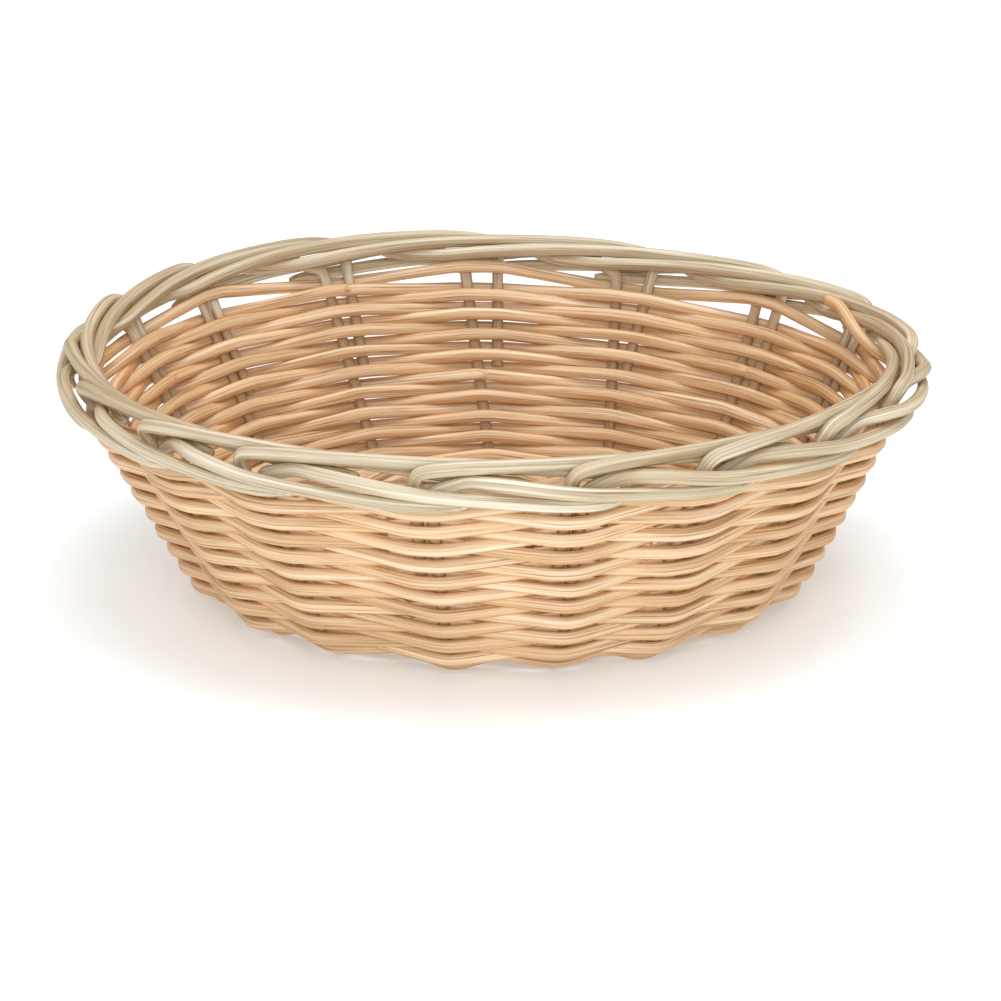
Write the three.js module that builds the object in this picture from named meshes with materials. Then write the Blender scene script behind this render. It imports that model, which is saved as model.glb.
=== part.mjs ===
// A round bread basket woven from reed: a flat woven base, a flared side and a rolled border.
// Sixteen spokes and one odd stake make seventeen stakes, an odd number, so one line of weaver
// passes in front of a stake on one round and behind it on the next.
// +Z is up, the basket stands on z = 0 and the z axis is the middle of the rim.
import * as THREE from "three";

// Driving dimensions, in millimetres and degrees.
const RIM_DIAMETER = 229;
const HEIGHT = 66.8; // at the front
const WALL_FLARE = 27; // the wall's angle from the vertical
const BEND_RADIUS = 9.5; // where the base turns up into the wall
const BASE_SHIFT = 1.8; // the base sits this far to +X of the rim, as a hand-woven one does
const RIM_WAVE = 2; // the rim rises about this much at the back left and falls as much at the back right
const STAKE = 3.3; // diameter of the stakes and of the border, which is their upper ends
const WEAVER = 2.7; // diameter of the side weavers and of the bindings
const SIDE_PITCH = 2.92; // from one round of the side to the next
const BASE_PITCH = 3.53; // from one round of the base to the next
const CLEARANCE = 0.3;
const SIDES = 5; // flats on each reed's section
const REEDS = {
  stake: { diameter: STAKE, colour: 0xcdb98c },
  base: { diameter: STAKE, colour: 0xd9b07c },
  binding: { diameter: WEAVER, colour: 0xd9b07c },
  side: { diameter: WEAVER, colour: 0xe3b98a },
};

// The stakes' places round the basket, counterclockwise from the front (-Y). The first is the odd one.
const STAKE_AZIMUTHS = [-51, -33, -9, 11, 29.5, 50, 70, 92, 113, 134, 158, 182, 205, 229, 247, 268, 289];
const STAKES = STAKE_AZIMUTHS.length;
// How far a bye-stake's middle is from its stake's: at its foot and at the rim. The worker opened some pairs wide.
const PAIR_GAPS = [
  [4, 5], [4, 5], [4.4, 3.7], [3.9, 3.6], [5.6, 5.2], [4.4, 5.4], [4, 5], [3.9, 5], [4.2, 5.4],
  [6.6, 8], [3.8, 11], [5.6, 10], [4, 7.8], [3.7, 4.2], [3.7, 4.3], [3.8, 4.5], [4, 5],
];
// Each rod runs across the base and is the stake at both places. The first four run from the front to the back.
const RODS = [[1, 12], [2, 11], [3, 10], [4, 9], [5, 16], [6, 15], [7, 14], [8, 13]];
const RODS_PER_LAYER = 4;
const CROSS_HALF = 9; // from the middle of the base to where the rods begin to open out
const LAYERS_MEET = 13.5; // the two layers of rods are level from this radius outwards
const BINDING_END_GAP = 2.2; // between a binding's end and its beginning
// The bindings round the cross, as radii, and how many rods each passes over or under together.
const BINDINGS = [
  { together: 4, radii: [14.5, 18.6] },
  { together: 2, radii: [22, 25.1, 28.1] },
];

// The border, as places (out, up) from the middle of the rim, one stake space apart each whole number.
const BORDER_RADIUS = 5.9; // from the middle of the rim to the outside of the border
const OUTER_TAIL = [
  [0.3, 0.5, 0.7], [0.5, 3.6, 0.9], [1, 4.6, -1.7], [1.5, 4.4, -3.3], [2, 3.6, -4.95], [2.12, 3.4, -5.05],
];
const TOP_TAIL = [
  [0.1, 2.6, 4.1], [0.25, 1.7, 4.5], [0.5, 0.5, 4.6], [1, -1.5, 4.3], [1.5, -3.2, 3.4], [2, -4.2, 1.6],
  [2.25, -3.8, 0.5], [2.5, -1.4, 0.2], [2.65, -0.3, 0.4],
];
const BYE_STAKE_FOLD = [[0, 0.6, 0.6], [1.5, 2.2, 3.2]]; // aside, out and up, as it turns over the top
const WALL_TOP = 3; // the stakes leave the line of the wall this far below the rim
// The side weaver's end comes up inside the wall and over the border, by the same measures as the tails.
const WEAVER_END = [
  [0.13, 0.7, -5.4], [0.45, -4.5, -2.8], [0.6, -6.6, -0.2], [0.78, -7.2, 2.6], [1, -6, 4.5], [1.2, -5.4, 4.8],
];

const radians = THREE.MathUtils.degToRad;
const lerp = THREE.MathUtils.lerp;
const DOWN = new THREE.Vector3(0, 0, -1);

// How far a weaver's middle lies from the middle of the stakes as it passes one.
const passOffset = (reed) => (STAKE + reed.diameter) / 2 + CLEARANCE;
const flatToMiddle = (reed) => (reed.diameter / 2) * Math.cos(Math.PI / SIDES);

// The shell is the surface through the middle of the stakes: a flat disc, a bend and a cone.
// It is measured by the distance along it from the middle of the base.
const FLOOR_Z = passOffset(REEDS.base) + flatToMiddle(REEDS.base);
const RIM_Z = HEIGHT - TOP_TAIL[2][2] - STAKE / 2;
const RIM_RADIUS = RIM_DIAMETER / 2 - BORDER_RADIUS;
const WALL_SLOPE = radians(90 - WALL_FLARE);
const BEND_TOP_Z = FLOOR_Z + BEND_RADIUS * (1 - Math.cos(WALL_SLOPE));
const BEND_TOP_RADIUS = RIM_RADIUS - (RIM_Z - BEND_TOP_Z) / Math.tan(WALL_SLOPE);
const FLAT_RADIUS = BEND_TOP_RADIUS - BEND_RADIUS * Math.sin(WALL_SLOPE);
const BEND_TOP = FLAT_RADIUS + BEND_RADIUS * WALL_SLOPE;
const RIM = BEND_TOP + (RIM_Z - BEND_TOP_Z) / Math.sin(WALL_SLOPE);

// Where the weaving and the second stakes begin and end, by distance along the shell.
const SIDE_START = FLAT_RADIUS + 0.4;
const BASE_START = 31.4;
const BYE_STAKE_START = lerp(BEND_TOP, RIM, 0.42);
const ODD_STAKE_START = 29.9;
// The weaver comes in lengths. Each starts and ends at an odd pass, so that all ends are inside.
// The side starts at the stake where the base ends.
const BASE_WEAVE = { first: 1, lengths: 8, passes: 26, last: 209 };
const SIDE_WEAVE = { first: 5, lengths: 17, passes: 22, last: 364, topRow: RIM - 4.1 };
const END_GAP = 0.5; // between two lengths of weaver that meet behind a stake

// The shell's radius, height and slope at a distance along it.
function shellAt(distance) {
  const slope = THREE.MathUtils.clamp((distance - FLAT_RADIUS) / BEND_RADIUS, 0, WALL_SLOPE);
  const flat = Math.min(distance, FLAT_RADIUS);
  const cone = Math.max(distance - BEND_TOP, 0);
  return {
    radius: flat + BEND_RADIUS * Math.sin(slope) + cone * Math.cos(slope),
    height: FLOOR_Z + BEND_RADIUS * (1 - Math.cos(slope)) + cone * Math.sin(slope),
    slope,
  };
}

// The rounds shift towards +X from the rim down to the base, and follow the rim's wave from the base up.
const baseShiftAt = (z) => BASE_SHIFT * (1 - z / RIM_Z);
const waveAt = (azimuth) => (RIM_WAVE * Math.sin(2 * azimuth) * (1 - Math.cos(azimuth))) / 2;

function around(azimuth, radius, z) {
  const rise = (waveAt(azimuth) * Math.max(z - FLOOR_Z - BEND_RADIUS, 0)) / (RIM_Z - FLOOR_Z - BEND_RADIUS);
  return new THREE.Vector3(baseShiftAt(z) + radius * Math.sin(azimuth), -radius * Math.cos(azimuth), z + rise);
}

// A place a little off the shell, with the direction that faces out of the basket there.
function onShell(azimuth, distance, offset = 0) {
  const { radius, height, slope } = shellAt(distance);
  const outward = Math.sin(slope);
  const down = Math.cos(slope);
  return {
    at: around(azimuth, radius + offset * outward, height - offset * down),
    facing: new THREE.Vector3(outward * Math.sin(azimuth), -outward * Math.cos(azimuth), -down),
  };
}

function onBorder(azimuth, out, up) {
  return {
    at: around(azimuth, RIM_RADIUS + out, RIM_Z + up),
    facing: new THREE.Vector3(Math.sin(azimuth), -Math.cos(azimuth), 0),
  };
}

// A stake's azimuth in radians, growing by a whole turn each time round.
function stakeAzimuth(pass) {
  const turns = Math.floor(pass / STAKES);
  return radians(STAKE_AZIMUTHS[pass - turns * STAKES] + 360 * turns);
}

// The azimuth a number of stake spaces on from a stake.
function azimuthAfter(stake, spaces) {
  const whole = Math.floor(spaces);
  return lerp(stakeAzimuth(stake + whole), stakeAzimuth(stake + whole + 1), spaces - whole);
}

// A reed's centre line through given places, each with the way its section faces.
class ReedPath extends THREE.Curve {
  constructor(places) {
    super();
    this.places = places;
  }

  getSpacedPoints() {
    return this.places.map((place) => place.at);
  }

  // The direction from one place to the next.
  stretch(i) {
    const first = THREE.MathUtils.clamp(i, 0, this.places.length - 2);
    return this.places[first + 1].at.clone().sub(this.places[first].at).normalize();
  }

  // At a bend the section is the mitre of its flatter side's section, so that each flat stays flat.
  computeFrenetFrames() {
    const frames = { tangents: [], normals: [], binormals: [] };
    this.places.forEach(({ facing }, i) => {
      const before = this.stretch(i - 1);
      const after = this.stretch(i);
      const tangent = before.clone().add(after).normalize();
      const flatter = Math.abs(after.dot(facing)) < Math.abs(before.dot(facing)) ? after : before;
      const normal = facing.clone().addScaledVector(flatter, -facing.dot(flatter)).normalize();
      const binormal = flatter.clone().cross(normal);
      const mitre = (v) => v.addScaledVector(flatter, -v.dot(tangent) / flatter.dot(tangent));
      frames.tangents.push(tangent);
      frames.normals.push(mitre(normal));
      frames.binormals.push(mitre(binormal));
    });
    return frames;
  }
}

// A regular polygon with one flat facing out.
function reedSection(diameter) {
  const corners = [];
  for (let i = 0; i < SIDES; i++) {
    const angle = ((2 * i + 1) * Math.PI) / SIDES;
    corners.push(new THREE.Vector2(Math.cos(angle), Math.sin(angle)).multiplyScalar(diameter / 2));
  }
  return new THREE.Shape(corners);
}

function reedMesh(name, reed, places) {
  const geometry = new THREE.ExtrudeGeometry(reedSection(reed.diameter), {
    steps: places.length - 1,
    extrudePath: new ReedPath(places),
  });
  const material = new THREE.MeshStandardMaterial({ color: reed.colour, roughness: 0.6, metalness: 0 });
  const mesh = new THREE.Mesh(geometry, material);
  mesh.name = name;
  return mesh;
}

// How far a stake leans counterclockwise from its place, and how far its bye-stake stands behind it.
function stakeLean(stake, distance) {
  const share = THREE.MathUtils.clamp((distance - BEND_TOP) / (RIM - BEND_TOP), 0, 1);
  return (share * PAIR_GAPS[stake][1]) / 2;
}

function byeStakeGap(stake, distance) {
  return lerp(...PAIR_GAPS[stake], (distance - BYE_STAKE_START) / (RIM - BYE_STAKE_START));
}

// The stretch for which a weaver runs straight past a stake, or past a stake and its bye-stake.
function straightStretch(pass, distance) {
  const stake = THREE.MathUtils.euclideanModulo(pass, STAKES);
  const lean = stakeLean(stake, distance);
  const behind = distance > BYE_STAKE_START - WEAVER ? byeStakeGap(stake, distance) : 0;
  const beside = STAKE / 2 + CLEARANCE;
  return { from: lean - behind - beside, to: lean + beside };
}

// One length of weaver, from behind one stake to behind another. Even passes are outside, odd ones inside.
function weaverPlaces(reed, distanceAt, firstPass, lastPass) {
  const places = [];
  for (let pass = firstPass; pass <= lastPass; pass++) {
    const azimuth = stakeAzimuth(pass);
    const distance = distanceAt(pass);
    const offset = pass % 2 ? -passOffset(reed) : passOffset(reed);
    const { radius } = shellAt(distance);
    const stretch = straightStretch(pass, distance);
    const middle = (stretch.from + stretch.to) / 2;
    const from = pass === firstPass ? middle + END_GAP / 2 : stretch.from;
    const to = pass === lastPass ? middle - END_GAP / 2 : stretch.to;
    places.push(onShell(azimuth + from / radius, distance, offset));
    places.push(onShell(azimuth + to / radius, distance, offset));
  }
  return places;
}

// A spiral of weaver in several lengths, which meet behind stakes, and its end. Inside the basket its last round
// is pressed up level, to topRow.
function spiral(name, reed, start, pitch, { first, lengths, passes, last, topRow = 0 }, endPlaces = []) {
  const group = new THREE.Group();
  const distanceAt = (pass) => {
    const distance = start + (pitch * (stakeAzimuth(pass) - stakeAzimuth(first))) / (2 * Math.PI);
    return pass % 2 && pass > last - STAKES ? Math.max(distance, topRow) : distance;
  };
  for (let number = 0; number < lengths; number++) {
    const from = first + number * passes;
    const label = `${name}_${String(number + 1).padStart(2, "0")}`;
    const places = weaverPlaces(reed, distanceAt, from, Math.min(from + passes, last));
    if (number === lengths - 1) places.push(...endPlaces);
    group.add(reedMesh(label, reed, places));
  }
  return group;
}

const stakePlace = (stake, distance, aside) => {
  return onShell(stakeAzimuth(stake) + aside / shellAt(distance).radius, distance);
};

const tailPlaces = (stake, tail) => {
  return tail.map(([spaces, out, up]) => onBorder(azimuthAfter(stake, spaces), out, up));
};

// A stake from the edge of the base, round the bend and up the wall to its tail in the border.
function stakePlaces(stake) {
  const places = [];
  const bendSteps = 4;
  for (let i = 0; i <= bendSteps; i++) {
    places.push(stakePlace(stake, lerp(FLAT_RADIUS, BEND_TOP, i / bendSteps), 0));
  }
  places.push(stakePlace(stake, RIM - WALL_TOP, stakeLean(stake, RIM - WALL_TOP)));
  return [...places, ...tailPlaces(stake, OUTER_TAIL)];
}

function byeStakePlaces(stake) {
  const places = [BYE_STAKE_START, RIM - WALL_TOP].map((distance) =>
    stakePlace(stake, distance, stakeLean(stake, distance) - byeStakeGap(stake, distance)),
  );
  BYE_STAKE_FOLD.forEach(([aside, out, up]) => {
    const fromMiddle = aside - PAIR_GAPS[stake][1] / 2;
    places.push(onBorder(stakeAzimuth(stake) + fromMiddle / RIM_RADIUS, out, up));
  });
  return [...places, ...tailPlaces(stake, TOP_TAIL)];
}

// Where the rod to a stake runs, seen from above: out of the cross beside its neighbours, then to its place.
function rodPoint(stake, radius) {
  const number = RODS.findIndex((ends) => ends.includes(stake));
  const beside = ((number % RODS_PER_LAYER) - (RODS_PER_LAYER - 1) / 2) * (STAKE + CLEARANCE);
  const along = RODS[number][0] === stake ? -CROSS_HALF : CROSS_HALF;
  const edge = number < RODS_PER_LAYER ? new THREE.Vector2(beside, along) : new THREE.Vector2(-along, beside);
  const azimuth = stakeAzimuth(stake);
  const open = new THREE.Vector2(Math.sin(azimuth), -Math.cos(azimuth)).multiplyScalar(BASE_START);
  const share = (radius - edge.length()) / (BASE_START - edge.length());
  return edge.lerp(open, THREE.MathUtils.clamp(share, 0, 1));
}

function rodPlace(stake, radius, above) {
  const { x, y } = rodPoint(stake, radius);
  return { at: new THREE.Vector3(baseShiftAt(FLOOR_Z) + x, y, FLOOR_Z + above), facing: DOWN };
}

// The rods cross in two layers of four, side by side, then open out to the stakes' places.
function rodPlaces([from, to], number) {
  const above = ((number < RODS_PER_LAYER ? 1 : -1) * (STAKE + CLEARANCE)) / 2;
  return [
    ...stakePlaces(from).reverse(),
    rodPlace(from, BASE_START, 0),
    rodPlace(from, LAYERS_MEET, 0),
    rodPlace(from, 0, above),
    rodPlace(to, 0, above),
    rodPlace(to, LAYERS_MEET, 0),
    rodPlace(to, BASE_START, 0),
    ...stakePlaces(to),
  ];
}

function rodAzimuth(stake, radius) {
  const { x, y } = rodPoint(stake, radius);
  return Math.atan2(x, -y);
}

// One round of binding, over one group of rods and under the next, as flat stretches joined between groups.
function bindingPlaces(radius, together, firstSide) {
  const places = [];
  for (let first = 1; first < STAKES; first += together) {
    const side = (first - 1) / together + firstSide;
    const offset = side % 2 ? -passOffset(REEDS.binding) : passOffset(REEDS.binding);
    const previous = rodAzimuth(first === 1 ? STAKES - 1 : first - 1, radius);
    const next = rodAzimuth(first + together < STAKES ? first + together : 1, radius);
    const from = rodAzimuth(first, radius);
    const to = rodAzimuth(first + together - 1, radius);
    const before = bindingReach(previous, from, radius);
    const after = bindingReach(to, next, radius);
    places.push(onShell(from - before, radius, offset), onShell(to + after, radius, offset));
  }
  // It goes on across the space of the odd stake and stops just short of its own beginning.
  const middle = onShell(stakeAzimuth(0), radius);
  const beginning = places[0];
  const share = 1 - BINDING_END_GAP / middle.at.distanceTo(beginning.at);
  const end = { at: middle.at.clone().lerp(beginning.at, share), facing: beginning.facing };
  return [...places, middle, end];
}

// How far past a group of rods a binding stays flat, as an angle: nearly to the middle of the space.
function bindingReach(from, to, radius) {
  const space = THREE.MathUtils.euclideanModulo(to - from, 2 * Math.PI);
  return Math.min(space / 2 - CLEARANCE / radius, 4 / radius);
}

const basket = new THREE.Group();
RODS.forEach((ends, number) => {
  basket.add(reedMesh(`base_rod_${number + 1}`, REEDS.stake, rodPlaces(ends, number)));
});
basket.add(reedMesh("odd_stake", REEDS.stake, [onShell(stakeAzimuth(0), ODD_STAKE_START), ...stakePlaces(0)]));
for (let stake = 0; stake < STAKES; stake++) {
  const name = `bye_stake_${String(stake + 1).padStart(2, "0")}`;
  basket.add(reedMesh(name, REEDS.stake, byeStakePlaces(stake)));
}
BINDINGS.forEach(({ together, radii }, kind) => {
  radii.forEach((radius, round) => {
    const name = `cross_binding_${kind + 1}_${round + 1}`;
    basket.add(reedMesh(name, REEDS.binding, bindingPlaces(radius, together, round)));
  });
});
basket.add(spiral("base_weaver", REEDS.base, BASE_START, BASE_PITCH, BASE_WEAVE));
const sideEnd = tailPlaces(SIDE_WEAVE.last, WEAVER_END);
basket.add(spiral("side_weaver", REEDS.side, SIDE_START, SIDE_PITCH, SIDE_WEAVE, sideEnd));

export default basket;
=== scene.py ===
"""A round bread basket woven from reed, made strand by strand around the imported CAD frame.

Lengths are in metres, angles in radians, +Z is up and the front of the basket is at -Y.
Every strand keeps close to the line of the CAD node that it replaces: along the shell, which is the
surface through the middle of the stakes, and at the rim along the border. The side weavers, the bindings and
the border are thicker here than in the CAD, and the stakes in the wall are flatter.
"""

import math
import random

import bpy
import numpy as np
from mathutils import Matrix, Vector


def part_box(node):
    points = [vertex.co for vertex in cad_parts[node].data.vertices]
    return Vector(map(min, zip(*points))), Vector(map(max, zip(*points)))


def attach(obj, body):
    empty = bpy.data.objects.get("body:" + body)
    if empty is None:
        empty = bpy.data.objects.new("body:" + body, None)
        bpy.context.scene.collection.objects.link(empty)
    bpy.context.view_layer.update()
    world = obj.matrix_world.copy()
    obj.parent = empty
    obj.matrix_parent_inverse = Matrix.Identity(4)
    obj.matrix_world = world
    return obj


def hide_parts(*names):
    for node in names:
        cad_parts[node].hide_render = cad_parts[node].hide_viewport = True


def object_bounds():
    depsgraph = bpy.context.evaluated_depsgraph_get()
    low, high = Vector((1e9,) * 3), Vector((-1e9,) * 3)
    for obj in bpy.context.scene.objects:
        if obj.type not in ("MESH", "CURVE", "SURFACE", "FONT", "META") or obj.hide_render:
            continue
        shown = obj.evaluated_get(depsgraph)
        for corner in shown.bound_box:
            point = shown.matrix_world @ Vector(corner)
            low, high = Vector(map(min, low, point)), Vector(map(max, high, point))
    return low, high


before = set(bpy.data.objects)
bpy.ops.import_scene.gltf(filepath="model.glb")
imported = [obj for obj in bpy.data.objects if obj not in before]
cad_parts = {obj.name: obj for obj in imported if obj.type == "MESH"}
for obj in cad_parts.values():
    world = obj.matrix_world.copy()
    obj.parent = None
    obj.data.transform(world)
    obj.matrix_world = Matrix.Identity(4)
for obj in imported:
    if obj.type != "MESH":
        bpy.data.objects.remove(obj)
cad_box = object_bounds()

MM = 0.001

# Reed sizes, as radii. A reed in the wall is a little flattened: wide along the wall, thick across it.
STAKE_WIDE = 1.62 * MM
STAKE_THICK = 1.3 * MM
BEND_THICK = 0.8 * MM  # a stake where it was pinched to turn it up
BORDER = 1.8 * MM
BASE_REED = 1.68 * MM
WEAVER_WIDE = 1.78 * MM
WEAVER_THICK = 1.58 * MM
PRESSED = 0.45 * MM  # into the stake where a weaver bends round it
REED_SIDES = 20
STEP = 1.3 * MM  # between the rings of a strand
SOFTENED = 1.6 * MM  # how far the rounding of a strand's corners spreads

# How a reed's section changes along it.
BEND_SHARE = 0.4  # of the wall's slope, where a stake has become its thinnest
ABOVE_BEND = 12 * MM  # over which it gets its thickness back
NEAR_RIM = 5 * MM  # over which it grows to its size in the border
TAPERED_HEIGHT = 8 * MM  # below the rim, above which a stake's end is tapered
TAPER = 4 * MM
TAPERED_SIZE = 0.45  # of the full size is left at a tapered end
SQUEEZE = 0.08  # of a weaver's width is missing between two stakes
SQUEEZE_START = 0.06  # radians from a stake, where it begins to narrow
SQUEEZE_OVER = 0.1  # radians, over which it narrows

# A cut end has a small bevel and then a flat face.
BEVEL = 0.35 * MM
BEVEL_LENGTH = 0.6 * BEVEL
BEVEL_SIZE = 0.8  # of the end's size is left after the bevel

# How far the reeds are turned to their stain colour, from 0 to 1. On the stakes below the border this is
# partly their own brown and partly painted shade of the gaps between the weaver rows.
STAKE_STAIN_AND_SHADE = 0.75  # below the border
BEVEL_STAIN = 0.6

# How far a bye-stake's middle is from its stake's, in millimetres: at its foot and at the rim.
PAIR_GAPS = [
    (4, 5), (4, 5), (4.4, 3.7), (3.9, 3.6), (5.6, 5.2), (4.4, 5.4), (4, 5), (3.9, 5), (4.2, 5.4),
    (6.6, 8), (3.8, 11), (5.6, 10), (4, 7.8), (3.7, 4.2), (3.7, 4.3), (3.8, 4.5), (4, 5),
]

# The border, as (spaces, out, up): stake spaces on from its own stake, then millimetres from the middle of
# the rim. The outer tails end in the top row of the weave, a little further on than in the CAD.
BORDER_OUT = 5.9 * MM
BORDER_UP = 6.25 * MM
OUTER_TAIL = [
    (0.3, 0.5, 0.7), (0.5, 3.6, 0.9), (1, 4.6, -1.7), (1.5, 4.4, -3.3), (2, 3.5, -4.95), (2.12, 3.1, -5.1),
    (2.28, 1.6, -5.1),
]
TOP_TAIL = [
    (0.1, 2.6, 4.1), (0.25, 1.7, 4.5), (0.5, 0.5, 4.6), (1, -1.5, 4.3), (1.5, -3.2, 3.4), (2, -4.2, 1.6),
    (2.25, -3.8, 0.5), (2.5, -1.4, 0.2), (2.65, -0.3, 0.4),
]
BYE_STAKE_FOLD = [(0, 0.6, 0.6), (1.5, 2.2, 3.2)]  # aside, out and up, as it turns over the top
WALL_TOP = 3 * MM  # the stakes leave the line of the wall this far below the rim
WALL_POINTS = 40
BYE_STAKE_POINTS = 20  # in its part of the wall
WEAVER_END = [  # the last side weaver comes up inside and lies over the border
    (0.13, 0.7, -5.4), (0.45, -4.5, -2.8), (0.6, -6.6, -0.2), (0.78, -7.2, 2.6), (1, -6, 4.3),
    (1.2, -5.4, 4.5),
]
TAIL_POINTS = 60

# The shell, worked out from the frame: a flat disc, a bend and a cone up to the middle of the rim.
WALL_SLOPE = math.radians(63)
BEND_RADIUS = 9.5 * MM
BASE_SHIFT = 1.8 * MM
RIM_WAVE = 2 * MM  # the rim rises about this much at the back left and falls as much at the back right
FLOOR_Z = (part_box("base_weaver_01")[0].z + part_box("base_weaver_01")[1].z) / 2
# The tail of this bye-stake runs along the front, where the rim is level.
RIM_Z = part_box("bye_stake_03")[1].z - BORDER_UP
RIM_RADIUS = (cad_box[1].x - cad_box[0].x) / 2 - BORDER_OUT
BEND_TOP_Z = FLOOR_Z + BEND_RADIUS * (1 - math.cos(WALL_SLOPE))
BEND_TOP_RADIUS = RIM_RADIUS - (RIM_Z - BEND_TOP_Z) / math.tan(WALL_SLOPE)
FLAT_RADIUS = BEND_TOP_RADIUS - BEND_RADIUS * math.sin(WALL_SLOPE)
BEND_TOP = FLAT_RADIUS + BEND_RADIUS * WALL_SLOPE
RIM = BEND_TOP + (RIM_Z - BEND_TOP_Z) / math.sin(WALL_SLOPE)

# The two spirals of weaving, by distance along the shell from the middle of the base. Passes are counted in
# stakes: the first one, the last one, and those from the start of one length to the start of the next. The
# inside passes of the last round are raised to top_row, where it is higher.
BASE_START = 31.4 * MM
BASE_WEAVE = {
    "start": BASE_START, "pitch": 3.53 * MM, "top_row": 0,
    "first": 1, "lengths": 8, "passes": 26, "last": 209,
}
SIDE_WEAVE = {
    "start": FLAT_RADIUS + 0.4 * MM, "pitch": 2.92 * MM, "top_row": RIM - 4.1 * MM,
    "first": 5, "lengths": 17, "passes": 22, "last": 364,
}
BYE_STAKE_SHARE = 0.42  # of the wall is below the foot of a bye-stake
BYE_STAKE_START = BEND_TOP + BYE_STAKE_SHARE * (RIM - BEND_TOP)
ODD_STAKE_START = 29.9 * MM
WANDER = 0.35 * MM  # the slow rise and fall of the rounds
WANDER_EDGE = 20 * MM  # over which it fades out towards the base and the rim

# Unevenness of the handwork: beside a stake and up or down the wall, in millimetres, and as a factor.
UNEVEN_BESIDE = (-0.5, 0.1)
UNEVEN_ROW = (-0.1, 0.1)
UNEVEN_OFFSET = (0.97, 1.04)

# Where two lengths of weaver meet, both run this far past the middle, side by side.
OVERLAP = 3.2 * MM
OVERLAP_ASIDE = 0.3 * MM

# The rods: the two stakes that each one makes, four rods from front to back, then four from right to left.
RODS = [(1, 12), (2, 11), (3, 10), (4, 9), (5, 16), (6, 15), (7, 14), (8, 13)]
RODS_PER_LAYER = 4
ROD_SPACING = 3.6 * MM
CROSS_HALF = 9 * MM
LAYERS_MEET = 13.5 * MM
BINDINGS = [(4, (14.5 * MM, 18.6 * MM)), (2, (22 * MM, 25.1 * MM, 28.1 * MM))]  # rods together, radii
BINDING_REACH = 4 * MM  # past the rods that it holds together
BINDING_CLEARANCE = 0.3 * MM  # at least, to the middle between two groups of rods

draw = random.Random(17)


def clamp(value, low=0.0, high=1.0):
    return min(max(value, low), high)


def mix(a, b, share):
    return a + (b - a) * share


# ---------------------------------------------------------------- places on the shell and the border


def shell_at(distance):
    """The shell's radius, height and slope at a distance along it."""
    slope = clamp((distance - FLAT_RADIUS) / BEND_RADIUS, 0, WALL_SLOPE)
    cone = max(distance - BEND_TOP, 0)
    radius = min(distance, FLAT_RADIUS) + BEND_RADIUS * math.sin(slope) + cone * math.cos(slope)
    height = FLOOR_Z + BEND_RADIUS * (1 - math.cos(slope)) + cone * math.sin(slope)
    return radius, height, slope


def base_shift(z):
    return BASE_SHIFT * (1 - z / RIM_Z)


def place(azimuth, radius, z, slope):
    """A point with the slope of the surface that it lies on, which says how a flattened reed lies."""
    x = base_shift(z) + radius * math.sin(azimuth)
    share = max(z - FLOOR_Z - BEND_RADIUS, 0) / (RIM_Z - FLOOR_Z - BEND_RADIUS)
    wave = RIM_WAVE * math.sin(2 * azimuth) * (1 - math.cos(azimuth)) / 2
    return np.array([x, -radius * math.cos(azimuth), z + wave * share, slope])


def on_shell(azimuth, distance, offset=0.0):
    radius, height, slope = shell_at(distance)
    return place(azimuth, radius + offset * math.sin(slope), height - offset * math.cos(slope), slope)


def on_border(azimuth, out, up):
    return place(azimuth, RIM_RADIUS + out, RIM_Z + up, math.pi / 2)


def stake_lean(stake, distance):
    """How far a stake leans counterclockwise from its place."""
    return clamp((distance - BEND_TOP) / (RIM - BEND_TOP)) * PAIR_GAPS[stake][1] / 2 * MM


def bye_stake_gap(stake, distance):
    """How far a bye-stake stands behind its stake."""
    return mix(*PAIR_GAPS[stake], (distance - BYE_STAKE_START) / (RIM - BYE_STAKE_START)) * MM


def frame_azimuths():
    """Each stake's azimuth, from the foot of the bye-stake beside it in the frame."""
    foot_height = 1.8 * MM
    radius = shell_at(BYE_STAKE_START)[0]
    found = []
    for stake in range(len(PAIR_GAPS)):
        corners = [v.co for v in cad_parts[f"bye_stake_{stake + 1:02d}"].data.vertices]
        lowest = min(v.z for v in corners)
        foot = np.mean([v for v in corners if v.z < lowest + foot_height], axis=0)
        aside = stake_lean(stake, BYE_STAKE_START) - bye_stake_gap(stake, BYE_STAKE_START)
        azimuth = math.atan2(foot[0] - base_shift(foot[2]), -foot[1]) - aside / radius
        while found and azimuth < found[-1]:
            azimuth += 2 * math.pi
        found.append(azimuth)
    return found


AZIMUTHS = frame_azimuths()
STAKES = len(AZIMUTHS)


def stake_azimuth(number):
    turns, stake = divmod(number, STAKES)
    return AZIMUTHS[stake] + 2 * math.pi * turns


def azimuth_after(stake, spaces):
    whole = math.floor(spaces)
    return mix(stake_azimuth(stake + whole), stake_azimuth(stake + whole + 1), spaces - whole)


# ---------------------------------------------------------------- strands


def resample(points, step):
    """Evenly spaced points along a broken line."""
    points = np.asarray(points)
    lengths = np.linalg.norm(np.diff(points[:, :3], axis=0), axis=1)
    along = np.concatenate([[0], np.cumsum(lengths)])
    count = max(int(along[-1] / step), 4)
    at = np.linspace(0, along[-1], count + 1)
    return np.stack([np.interp(at, along, column) for column in points.T], axis=1)


def soften(points, spread):
    """Rounds the corners of evenly spaced points, as a stiff reed does, and keeps both ends."""
    step = np.linalg.norm(points[1, :3] - points[0, :3])
    reach = max(int(3 * spread / step), 1)
    weights = np.exp(-0.5 * (np.arange(-reach, reach + 1) * step / spread) ** 2)
    weights /= weights.sum()
    before = 2 * points[0] - points[1 : reach + 1][::-1]
    after = 2 * points[-1] - points[-reach - 1 : -1][::-1]
    padded = np.concatenate([before, points, after])
    return np.stack([np.convolve(column, weights, "valid") for column in padded.T], axis=1)


def reed_line(points):
    fine = soften(resample(points, STEP / 2), SOFTENED)
    return resample(fine, STEP)


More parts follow.
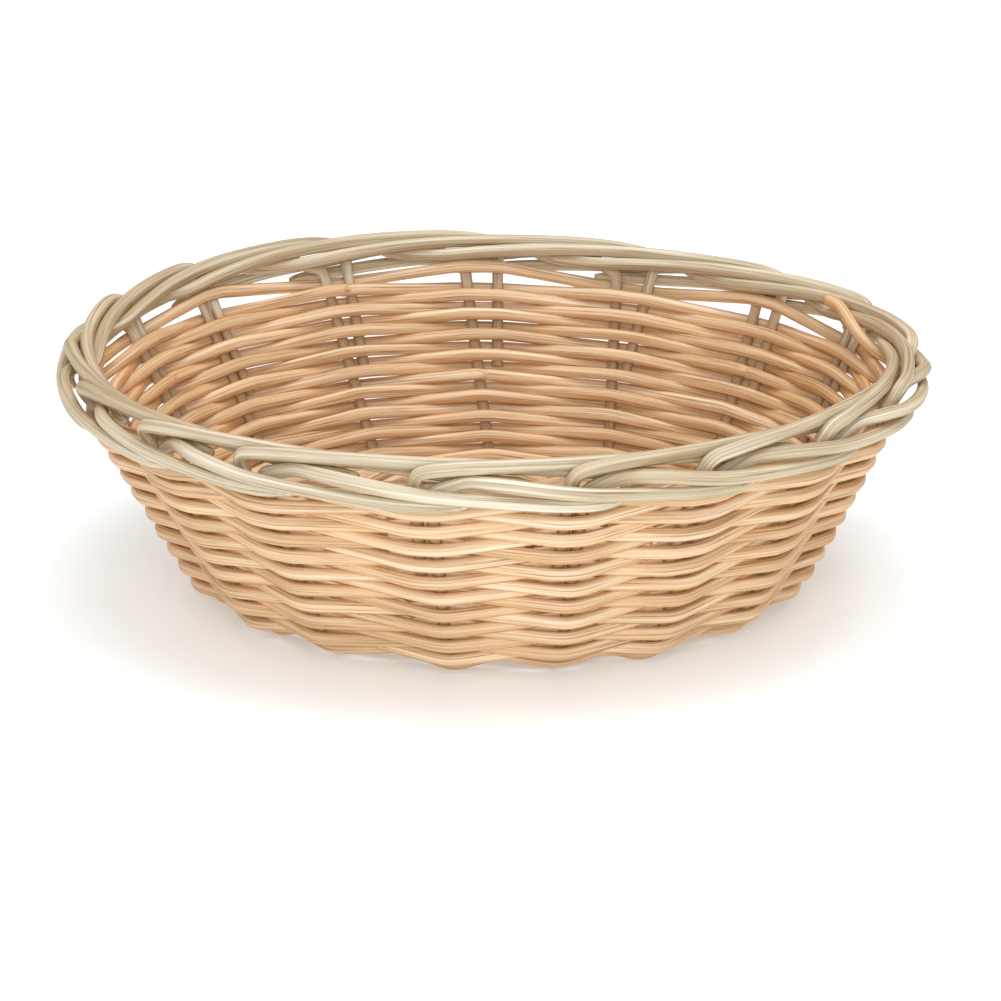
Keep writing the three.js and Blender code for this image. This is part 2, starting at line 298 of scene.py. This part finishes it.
def directions(line):
    """At each point of a line: along the reed, out of the surface that it lies on, and beside it."""
    points, slopes = line[:, :3], line[:, 3]
    tangents = np.gradient(points, axis=0)
    tangents /= np.linalg.norm(tangents, axis=1)[:, None]
    azimuths = np.arctan2(points[:, 0] - base_shift(points[:, 2]), -points[:, 1])
    facing = np.stack(
        [np.sin(slopes) * np.sin(azimuths), -np.sin(slopes) * np.cos(azimuths), -np.cos(slopes)], axis=1
    )
    facing -= tangents * np.sum(facing * tangents, axis=1)[:, None]
    facing /= np.linalg.norm(facing, axis=1)[:, None]
    return tangents, facing, np.cross(tangents, facing)


def unevenness(along, turn):
    """A reed isn't quite round, and it swells and thins by a few hundredths along its length."""
    start = draw.uniform(0, 100)
    swell = 1 + 0.03 * np.sin(along * 61 + start) + 0.02 * np.sin(along * 173 + 2 * start)
    lobes = 1 + 0.025 * np.cos(2 * turn + start) + 0.012 * np.cos(5 * turn + 2 * start)
    return swell[:, None] * lobes[None, :]


def rings(line, wide, thick):
    """The ring of vertices round each point of a line, and where each lies in the straightened reed."""
    points = line[:, :3]
    tangents, facing, beside = directions(line)
    turn = np.arange(REED_SIDES) * 2 * math.pi / REED_SIDES
    along = np.concatenate([[0], np.cumsum(np.linalg.norm(np.diff(points, axis=0), axis=1))])
    out = np.cos(turn)[None, :, None] * thick[:, None, None] * facing[:, None, :]
    aside = np.sin(turn)[None, :, None] * wide[:, None, None] * beside[:, None, :]
    from_middle = unevenness(along, turn)[:, :, None] * (out + aside)
    grain = np.zeros((len(points), REED_SIDES, 3))
    grain[:, :, 0] = along[:, None]
    grain[:, :, 1] = wide[:, None] * np.cos(turn)[None, :]
    grain[:, :, 2] = wide[:, None] * np.sin(turn)[None, :]
    return points[:, None, :] + from_middle, grain, tangents


def tapered(share):
    """The size of a reed at a share of the way from its end to where the taper starts."""
    return TAPERED_SIZE + (1 - TAPERED_SIZE) * np.sqrt(np.clip(share, 0, 1))


def stake_reed(line):
    """A stake is pinched at the bend, a little flattened in the wall and round, and thicker, in the border.

    Both its ends are tapered where they lie in the border. An end in the base or the wall isn't.
    """
    border = np.clip((line[:, 2] - (RIM_Z - NEAR_RIM)) / NEAR_RIM, 0, 1)
    border = border * border * (3 - 2 * border)
    bend = np.clip(line[:, 3] / (BEND_SHARE * WALL_SLOPE), 0, 1)
    wall = np.clip((line[:, 2] - BEND_TOP_Z) / ABOVE_BEND, 0, 1)
    wide = mix(STAKE_WIDE, BORDER, border)
    thick = mix(mix(mix(STAKE_WIDE, BEND_THICK, bend), STAKE_THICK, wall), BORDER, border)
    from_end = np.arange(len(line))[::-1] * STEP
    taper = tapered(from_end / (2 * TAPER))
    taper = np.where(line[:, 2] > RIM_Z - TAPERED_HEIGHT, np.minimum(taper, taper[::-1]), 1)
    return wide * taper, thick * taper


def squeeze(line):
    """A weaver is widest at a stake, and narrower between two stakes, where its neighbours cross it."""
    azimuths = np.arctan2(line[:, 0] - base_shift(line[:, 2]), -line[:, 1])
    from_stakes = np.angle(np.exp(1j * (azimuths[:, None] - np.array(AZIMUTHS)[None, :])))
    nearest = np.abs(from_stakes).min(axis=1)
    return 1 - SQUEEZE * np.clip((nearest - SQUEEZE_START) / SQUEEZE_OVER, 0, 1)


def weaver_reed(wide, thick, taper_end=True):
    """A weaver's ends are cut to a slant, so that two lengths make one thickness where they overlap."""

    def size(line):
        along = np.arange(len(line)) * np.linalg.norm(line[1, :3] - line[0, :3])
        taper = tapered(along / TAPER)
        if taper_end:
            taper = np.minimum(taper, tapered((along[-1] - along) / TAPER))
        return wide * taper * squeeze(line), thick * taper

    return size


def with_cut_ends(line, ring_points, grain, tangents):
    """Adds a bevelled ring to both ends. Also gives the middle points of the two flat faces."""
    first = line[0, :3] - tangents[0] * BEVEL_LENGTH
    last = line[-1, :3] + tangents[-1] * BEVEL_LENGTH
    first_ring = first + (ring_points[0] - line[0, :3]) * BEVEL_SIZE
    last_ring = last + (ring_points[-1] - line[-1, :3]) * BEVEL_SIZE
    grain = np.concatenate([grain[:1], grain, grain[-1:]])
    grain[0, :, 0] -= BEVEL
    grain[-1, :, 0] += BEVEL
    return np.concatenate([first_ring[None], ring_points, last_ring[None]]), grain, [first, last]


def reed_faces(rows):
    """The faces between rows of vertices, and the two flat ends round the last two vertices."""
    row = np.arange(rows - 1)[:, None] * REED_SIDES
    side = np.arange(REED_SIDES)[None, :]
    next_side = (side + 1) % REED_SIDES
    above = row + REED_SIDES
    quads = np.stack([row + side, row + next_side, above + next_side, above + side], axis=2).reshape(-1, 4)
    end_row = (rows - 1) * REED_SIDES
    middle = rows * REED_SIDES
    ends = [(middle, (n + 1) % REED_SIDES, n) for n in range(REED_SIDES)]
    ends += [(middle + 1, end_row + n, end_row + (n + 1) % REED_SIDES) for n in range(REED_SIDES)]
    return quads.tolist() + ends


def strand(node, points, slot, size):
    """One reed along a broken line, in place of a CAD node. size gives the section's two radii along it."""
    line = reed_line(points)
    body, grain, end_points = with_cut_ends(line, *rings(line, *size(line)))
    vertices = np.concatenate([body.reshape(-1, 3), end_points])
    name = f"{node}_reed"
    mesh = bpy.data.meshes.new(name)
    mesh.from_pydata(vertices.tolist(), [], reed_faces(len(body)))
    mesh.update()
    mesh.shade_smooth()
    add_attributes(mesh, grain, line if slot == "stake_reed" else None)
    mesh.materials.append(LOOKS[slot])
    piece = bpy.data.objects.new(name, mesh)
    bpy.context.scene.collection.objects.link(piece)
    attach(piece, "root")
    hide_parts(node)


def add_attributes(mesh, grain, line):
    """Stores what the material reads: the place in the straightened reed, a tint, and how far it takes the
    stain colour.

    Cut ends are stained. The stakes below the border are browned with it too, partly as their own colour and
    partly as painted shade of the gaps between the weaver rows. line is a stake's, and None for a weaver.
    """
    where = np.concatenate([grain.reshape(-1, 3), [grain[0, 0], grain[-1, 0]]])
    where[-2:, 1:] = 0
    where[:, 0] += draw.uniform(0, 50)
    mesh.attributes.new("grain", "FLOAT_VECTOR", "POINT").data.foreach_set("vector", where.ravel())
    tint = np.full(len(where), draw.random())
    mesh.attributes.new("tint", "FLOAT", "POINT").data.foreach_set("value", tint)
    stain_and_shade = np.zeros(len(where))
    if line is not None:
        # Partly painted shade: below the border the stakes are browned towards the stain colour, for their
        # own brown and for the shade of the gaps between the weaver rows.
        rows = np.clip((RIM_Z - NEAR_RIM - line[:, 2]) / NEAR_RIM, 0, 1) * STAKE_STAIN_AND_SHADE
        stain_and_shade[:-2] = np.repeat(np.concatenate([rows[:1], rows, rows[-1:]]), REED_SIDES)
    stain_and_shade[-2:] = 1
    stain_and_shade[:REED_SIDES] = BEVEL_STAIN
    stain_and_shade[-2 - REED_SIDES : -2] = BEVEL_STAIN
    mesh.attributes.new("stain_and_shade", "FLOAT", "POINT").data.foreach_set("value", stain_and_shade)


# ---------------------------------------------------------------- the lines that the reeds follow


def straight_stretch(stake, distance):
    """The stretch for which a weaver runs straight past a stake, or past a stake and its bye-stake."""
    lean = stake_lean(stake, distance)
    behind = bye_stake_gap(stake, distance) if distance > BYE_STAKE_START - WEAVER_WIDE else 0
    beside = STAKE_WIDE + draw.uniform(*UNEVEN_BESIDE) * MM
    return lean - behind - beside, lean + beside


def wander(azimuth, distance):
    """The slow rise and fall of the rounds in a hand-woven wall, the same for neighbouring rounds."""
    wave = math.sin(3 * azimuth + 40 * distance) + 0.6 * math.sin(5 * azimuth - 25 * distance + 1)
    from_base = clamp((distance - FLAT_RADIUS) / WANDER_EDGE)
    return WANDER * wave * from_base * clamp((RIM - distance) / WANDER_EDGE)


def past_base_stake(_distance):
    """How far a base weaver's middle is from a stake's. It is the same everywhere."""
    return STAKE_WIDE + BASE_REED


def past_side_stake(distance):
    """How far a side weaver's middle is from a stake's."""
    wall = clamp((shell_at(distance)[1] - BEND_TOP_Z) / ABOVE_BEND)
    return mix(BEND_THICK, STAKE_THICK, wall) + WEAVER_THICK - PRESSED


def weaver_line(distance_at, first, last, past_stake):
    """One length of weaver. Even passes are outside and odd ones inside, where two lengths meet."""
    points = []
    for number in range(first, last + 1):
        azimuth = stake_azimuth(number)
        distance = distance_at(number)
        distance += wander(azimuth, distance) + draw.uniform(*UNEVEN_ROW) * MM
        radius = shell_at(distance)[0]
        start, end = straight_stretch(number % STAKES, distance)
        offset = past_stake(distance) * draw.uniform(*UNEVEN_OFFSET) * (-1 if number % 2 else 1)
        if number == first:
            start = (start + end) / 2 - OVERLAP
            offset -= OVERLAP_ASIDE
        if number == last:
            end = (start + end) / 2 + OVERLAP
            offset += OVERLAP_ASIDE
        points.append(on_shell(azimuth + start / radius, distance, offset))
        points.append(on_shell(azimuth + end / radius, distance, offset))
    return points


def spiral(name, slot, weave, past_stake, wide, thick, end_points=()):
    """One spiral of weaving, in several lengths. end_points carry on the last one, which isn't tapered."""

    def distance_at(number):
        turns = (stake_azimuth(number) - stake_azimuth(weave["first"])) / (2 * math.pi)
        in_top_row = number % 2 and number > weave["last"] - STAKES
        return max(weave["start"] + weave["pitch"] * turns, weave["top_row"] if in_top_row else 0)

    for number in range(weave["lengths"]):
        first = weave["first"] + number * weave["passes"]
        line = weaver_line(distance_at, first, min(first + weave["passes"], weave["last"]), past_stake)
        goes_on = number == weave["lengths"] - 1 and len(end_points) > 0
        line += end_points if goes_on else []
        strand(f"{name}_{number + 1:02d}", line, slot, weaver_reed(wide, thick, not goes_on))


def hermite(xs, ys, at):
    """A smooth curve through the points of a table."""
    slopes = np.gradient(ys, xs)
    before = np.clip(np.searchsorted(xs, at, side="right") - 1, 0, len(xs) - 2)
    after = before + 1
    span = xs[after] - xs[before]
    t = (at - xs[before]) / span
    from_before = (1 + 2 * t) * (1 - t) ** 2 * ys[before] + t * (1 - t) ** 2 * span * slopes[before]
    return from_before + t * t * (3 - 2 * t) * ys[after] + t * t * (t - 1) * span * slopes[after]


def tail_points(stake, tail):
    """The border end of a reed, as a smooth line through its places."""
    table = np.array(tail, float)
    spaces = np.linspace(table[0, 0], table[-1, 0], TAIL_POINTS)
    outs = hermite(table[:, 0], table[:, 1], spaces)
    ups = hermite(table[:, 0], table[:, 2], spaces)
    return [
        on_border(azimuth_after(stake, space), out * MM, up * MM)
        for space, out, up in zip(spaces, outs, ups)
    ]


def stake_line(stake):
    """A stake from the edge of the base, round the bend and up the wall to its tail in the border."""
    azimuth = stake_azimuth(stake)
    points = []
    for distance in np.linspace(FLAT_RADIUS, RIM - WALL_TOP, WALL_POINTS):
        points.append(on_shell(azimuth + stake_lean(stake, distance) / shell_at(distance)[0], distance))
    return points + tail_points(stake, OUTER_TAIL)


def bye_stake_line(stake):
    """A bye-stake from its foot in the wall, over the rim, to its tail on top of the border."""
    azimuth = stake_azimuth(stake)
    points = []
    for distance in np.linspace(BYE_STAKE_START, RIM - WALL_TOP, BYE_STAKE_POINTS):
        aside = stake_lean(stake, distance) - bye_stake_gap(stake, distance)
        points.append(on_shell(azimuth + aside / shell_at(distance)[0], distance))
    for aside, out, up in BYE_STAKE_FOLD:
        from_middle = aside - PAIR_GAPS[stake][1] / 2
        points.append(on_border(azimuth + from_middle * MM / RIM_RADIUS, out * MM, up * MM))
    return points + tail_points(stake, TOP_TAIL)


def rod_point(stake, radius):
    """Where the rod to a stake runs, seen from above: out of the cross, then to its place."""
    number = next(n for n, ends in enumerate(RODS) if stake in ends)
    beside = (number % RODS_PER_LAYER - (RODS_PER_LAYER - 1) / 2) * ROD_SPACING
    along = -CROSS_HALF if RODS[number][0] == stake else CROSS_HALF
    edge = np.array([beside, along] if number < RODS_PER_LAYER else [-along, beside])
    azimuth = stake_azimuth(stake)
    open_at = BASE_START * np.array([math.sin(azimuth), -math.cos(azimuth)])
    inner = np.linalg.norm(edge)
    return mix(edge, open_at, clamp((radius - inner) / (BASE_START - inner)))


def rod_place(stake, radius, above=0.0):
    """The same place in the basket, above or below the middle of the base."""
    x, y = rod_point(stake, radius)
    return np.array([base_shift(FLOOR_Z) + x, y, FLOOR_Z + above, 0])


def rod_line(number):
    """A rod, from the border down one stake, through the cross and up the other."""
    start, end = RODS[number]
    above = (1 if number < RODS_PER_LAYER else -1) * ROD_SPACING / 2
    inner = [rod_place(start, BASE_START), rod_place(start, LAYERS_MEET), rod_place(start, 0, above)]
    outer = [rod_place(end, 0, above), rod_place(end, LAYERS_MEET), rod_place(end, BASE_START)]
    return stake_line(start)[::-1] + inner + outer + stake_line(end)


def rod_azimuth(stake, radius):
    x, y = rod_point(stake, radius)
    return math.atan2(x, -y)


def binding_reach(start, end, radius):
    """The angle for which a binding runs on past a rod, in the space between two rods."""
    space = (end - start) % (2 * math.pi)
    return min(space / 2 - BINDING_CLEARANCE / radius, BINDING_REACH / radius)


def binding_line(radius, together, first_side):
    """One round of binding, over one group of rods and under the next, and back to its beginning.

    The odd stake starts further out, so the binding has nothing to pass in its space.
    """
    points = []
    past_rod = STAKE_WIDE + WEAVER_THICK
    for first in range(1, STAKES, together):
        side = (first - 1) // together + first_side
        offset = -past_rod if side % 2 else past_rod
        before = rod_azimuth(STAKES - 1 if first == 1 else first - 1, radius)
        after = rod_azimuth(first + together if first + together < STAKES else 1, radius)
        start = rod_azimuth(first, radius)
        end = start + (rod_azimuth(first + together - 1, radius) - start) % (2 * math.pi)
        start -= binding_reach(before, start, radius)
        end += binding_reach(end, after, radius)
        for share in (0, 0.33, 0.67, 1):
            points.append(on_shell(mix(start, end, share), radius, offset))
    return points + [on_shell(stake_azimuth(0), radius), points[0]]


# ---------------------------------------------------------------- materials


# The sockets of a colour mix node, which have the same names as its other ones.
MIX_FACTOR = 0
MIX_A = 6
MIX_B = 7
MIX_RESULT = 2

# Colour ramps that darken or lighten a reed's colour, as (position, factor for red, green and blue).
PLAIN = (1, 1, 1)
GROOVES = [(0.32, (0.42, 0.33, 0.22)), (0.44, (0.88, 0.84, 0.78)), (0.52, PLAIN), (0.68, (1.14, 1.16, 1.2))]
BLOTCHES = [(0.3, (0.90, 0.86, 0.79)), (0.6, PLAIN), (0.75, (1.05, 1.04, 1.02))]
TINTS = [(0.0, (0.91, 0.87, 0.81)), (0.5, PLAIN), (1.0, (1.04, 1.05, 1.07))]


def add_node(tree, kind, **values):
    made = tree.nodes.new(kind)
    for key, value in values.items():
        setattr(made, key, value)
    return made


def attribute(tree, label):
    return add_node(tree, "ShaderNodeAttribute", attribute_name=label, attribute_type="GEOMETRY")


def noise(tree, where, scale, detail, rough):
    """Noise along the straightened reed. scale is along it, then twice across it, per metre."""
    mapping = add_node(tree, "ShaderNodeMapping")
    mapping.inputs["Scale"].default_value = scale
    tree.links.new(where.outputs["Vector"], mapping.inputs["Vector"])
    texture = add_node(tree, "ShaderNodeTexNoise")
    texture.inputs["Scale"].default_value = 1
    texture.inputs["Detail"].default_value = detail
    texture.inputs["Roughness"].default_value = rough
    tree.links.new(mapping.outputs["Vector"], texture.inputs["Vector"])
    return texture.outputs["Fac"]


def ramp(tree, source, stops):
    made = add_node(tree, "ShaderNodeValToRGB")
    elements = made.color_ramp.elements
    while len(elements) < len(stops):
        elements.new(0.5)
    for element, (position, colour) in zip(elements, stops):
        element.position = position
        element.color = (*colour, 1)
    tree.links.new(source, made.inputs["Fac"])
    return made.outputs["Color"]


def multiply(tree, colour, by, factor=1.0):
    made = add_node(tree, "ShaderNodeMix", data_type="RGBA", blend_type="MULTIPLY")
    made.inputs[MIX_FACTOR].default_value = factor
    tree.links.new(colour, made.inputs[MIX_A])
    tree.links.new(by, made.inputs[MIX_B])
    return made.outputs[MIX_RESULT]


def add_stain_and_shade(tree, colour, stain_and_shade):
    """Turns the colour to the stain's as far as the attribute says: real stain at cut ends, and partly
    painted shade on the stakes below the border.
    """
    made = add_node(tree, "ShaderNodeMix", data_type="RGBA", blend_type="MIX")
    made.inputs[MIX_B].default_value = (*stain_and_shade, 1)
    tree.links.new(attribute(tree, "stain_and_shade").outputs["Fac"], made.inputs[MIX_FACTOR])
    tree.links.new(colour, made.inputs[MIX_A])
    return made.outputs[MIX_RESULT]


def reed_colour(tree, grain, fibres, threads, side, stain_and_shade):
    """Fine fibres and slow patches, one tint for each strand, and painted shade: a darker, warmer colour at
    its edges, where it turns away from view.
    """
    colour = ramp(tree, noise(tree, grain, (12, 900, 900), 2, 0.5), threads)
    colour = multiply(tree, colour, ramp(tree, fibres, GROOVES), 0.9)
    patches = noise(tree, grain, (22, 160, 160), 2, 0.5)
    colour = multiply(tree, colour, ramp(tree, patches, BLOTCHES))
    colour = multiply(tree, colour, ramp(tree, attribute(tree, "tint").outputs["Fac"], TINTS))
    # Painted shade: where a strand's surface turns away from view, at its edges, its colour is darkened and
    # warmed, for the shade between neighbouring strands.
    painted_edge_shade = add_node(tree, "ShaderNodeLayerWeight")
    painted_edge_shade.inputs["Blend"].default_value = 0.4
    colour = multiply(tree, colour, ramp(tree, painted_edge_shade.outputs["Facing"], [(0.25, PLAIN), (0.85, side)]))
    return add_stain_and_shade(tree, colour, stain_and_shade)


def add_fibre_relief(tree, fibres, shader, roughness):
    """The fibres are felt as a fine relief, and the grooves between them are a little rougher."""
    rough = add_node(tree, "ShaderNodeMapRange")
    rough.inputs["To Min"].default_value = roughness + 0.12
    rough.inputs["To Max"].default_value = roughness - 0.1
    tree.links.new(fibres, rough.inputs["Value"])
    tree.links.new(rough.outputs["Result"], shader.inputs["Roughness"])
    bump = add_node(tree, "ShaderNodeBump")
    bump.inputs["Strength"].default_value = 0.6
    bump.inputs["Distance"].default_value = 0.2 * MM
    tree.links.new(fibres, bump.inputs["Height"])
    tree.links.new(bump.outputs["Normal"], shader.inputs["Normal"])


def reed_material(name, dark, mid, light, side, stain_and_shade, roughness):
    """Round reed, from its dark, middle and light threads, the darker colour painted as shade at its edges,
    and its stain, which on the stakes below the border also paints shade.
    """
    material = bpy.data.materials.new(name)
    material.use_nodes = True
    tree = material.node_tree
    shader = tree.nodes["Principled BSDF"]
    grain = attribute(tree, "grain")
    fibres = noise(tree, grain, (24, 2300, 2300), 3, 0.6)
    threads = [(0.32, dark), (0.5, mid), (0.66, light)]
    tree.links.new(reed_colour(tree, grain, fibres, threads, side, stain_and_shade), shader.inputs["Base Color"])
    add_fibre_relief(tree, fibres, shader, roughness)
    shader.inputs["Specular IOR Level"].default_value = 0.6
    shader.inputs["Subsurface Weight"].default_value = 0.12
    shader.inputs["Subsurface Radius"].default_value = (1, 0.6, 0.35)
    shader.inputs["Subsurface Scale"].default_value = 1.2 * MM
    return material


# Each look's side colour is painted shade, which darkens a reed's edges. The stake stain colour is real
# stain at the cut ends and partly painted shade on the stakes below the border.
LOOKS = {
    "stake_reed": reed_material(
        "stake_reed", dark=(0.50, 0.41, 0.27), mid=(0.66, 0.57, 0.42), light=(0.80, 0.73, 0.58),
        side=(0.88, 0.74, 0.56), stain_and_shade=(0.42, 0.23, 0.09), roughness=0.42,
    ),
    "base_reed": reed_material(
        "base_reed", dark=(0.60, 0.38, 0.19), mid=(0.74, 0.51, 0.30), light=(0.84, 0.63, 0.42),
        side=(0.94, 0.74, 0.5), stain_and_shade=(0.45, 0.28, 0.15), roughness=0.48,
    ),
    "side_reed": reed_material(
        "side_reed", dark=(0.69, 0.45, 0.24), mid=(0.80, 0.56, 0.34), light=(0.90, 0.71, 0.51),
        side=(0.96, 0.74, 0.47), stain_and_shade=(0.50, 0.32, 0.17), roughness=0.42,
    ),
}


# ---------------------------------------------------------------- camera, light and floor


def add_camera():
    """Looks along +Y from a little above, a long lens as in a product picture."""
    elevation = math.radians(17.96)
    distance = 1.15
    aim = np.array([1.99 * MM, -2.56 * MM, 22.1 * MM])
    back = np.array([0, -math.cos(elevation), math.sin(elevation)])
    data = bpy.data.cameras.new("camera")
    data.lens = 155.7
    data.sensor_width = 36
    data.clip_start = 0.05
    data.clip_end = 50
    camera = bpy.data.objects.new("camera", data)
    camera.location = aim + back * distance
    camera.rotation_euler = (math.pi / 2 - elevation, 0, 0)
    bpy.context.scene.collection.objects.link(camera)
    bpy.context.scene.camera = camera


def add_area_light(name, location, size, power):
    """A square light that faces the origin."""
    data = bpy.data.lights.new(name, "AREA")
    data.size = size
    data.energy = power
    light = bpy.data.objects.new(name, data)
    light.location = location
    towards = -np.array(location)
    pitch = math.atan2(math.hypot(towards[0], towards[1]), -towards[2])
    light.rotation_euler = (pitch, 0, math.atan2(-towards[0], towards[1]))
    bpy.context.scene.collection.objects.link(light)


def add_floor():
    """A white floor, slightly blue against the basket's warm reflection. It gives off a little light."""
    half = 12
    corners = [(-half, -half, 0), (half, -half, 0), (half, half, 0), (-half, half, 0)]
    mesh = bpy.data.meshes.new("floor")
    mesh.from_pydata(corners, [], [(0, 1, 2, 3)])
    material = bpy.data.materials.new("floor")
    material.use_nodes = True
    shader = material.node_tree.nodes["Principled BSDF"]
    shader.inputs["Base Color"].default_value = (0.90, 0.955, 0.99, 1)
    shader.inputs["Roughness"].default_value = 0.5
    shader.inputs["Emission Color"].default_value = (1, 1, 1, 1)
    shader.inputs["Emission Strength"].default_value = 0.23
    mesh.materials.append(material)
    floor = bpy.data.objects.new("floor", mesh)
    bpy.context.scene.collection.objects.link(floor)


def add_world():
    world = bpy.data.worlds.new("world")
    world.use_nodes = True
    sky = world.node_tree.nodes["Background"]
    sky.inputs["Color"].default_value = (1, 1, 1, 1)
    sky.inputs["Strength"].default_value = 0.6
    bpy.context.scene.world = world


add_camera()
add_world()
add_floor()
add_area_light("overhead", (0.12, 0, 1.3), 1.0, 9)
add_area_light("front", (0, -0.85, 0.36), 0.45, 2.9)
bpy.context.scene.view_settings.view_transform = "Standard"

# ---------------------------------------------------------------- the basket


def add_stakes():
    for number in range(len(RODS)):
        strand(f"base_rod_{number + 1}", rod_line(number), "stake_reed", stake_reed)
    odd_line = [on_shell(stake_azimuth(0), ODD_STAKE_START)] + stake_line(0)
    strand("odd_stake", odd_line, "stake_reed", stake_reed)
    for stake in range(STAKES):
        strand(f"bye_stake_{stake + 1:02d}", bye_stake_line(stake), "stake_reed", stake_reed)


def add_bindings():
    for kind, (together, radii) in enumerate(BINDINGS):
        for turn, radius in enumerate(radii):
            line = binding_line(radius, together, turn)
            size = weaver_reed(WEAVER_WIDE, WEAVER_THICK)
            strand(f"cross_binding_{kind + 1}_{turn + 1}", line, "base_reed", size)


def add_weaving():
    spiral("base_weaver", "base_reed", BASE_WEAVE, past_base_stake, BASE_REED, BASE_REED)
    end_points = tail_points(SIDE_WEAVE["last"], WEAVER_END)
    spiral("side_weaver", "side_reed", SIDE_WEAVE, past_side_stake, WEAVER_WIDE, WEAVER_THICK, end_points)


add_stakes()
add_bindings()
add_weaving()
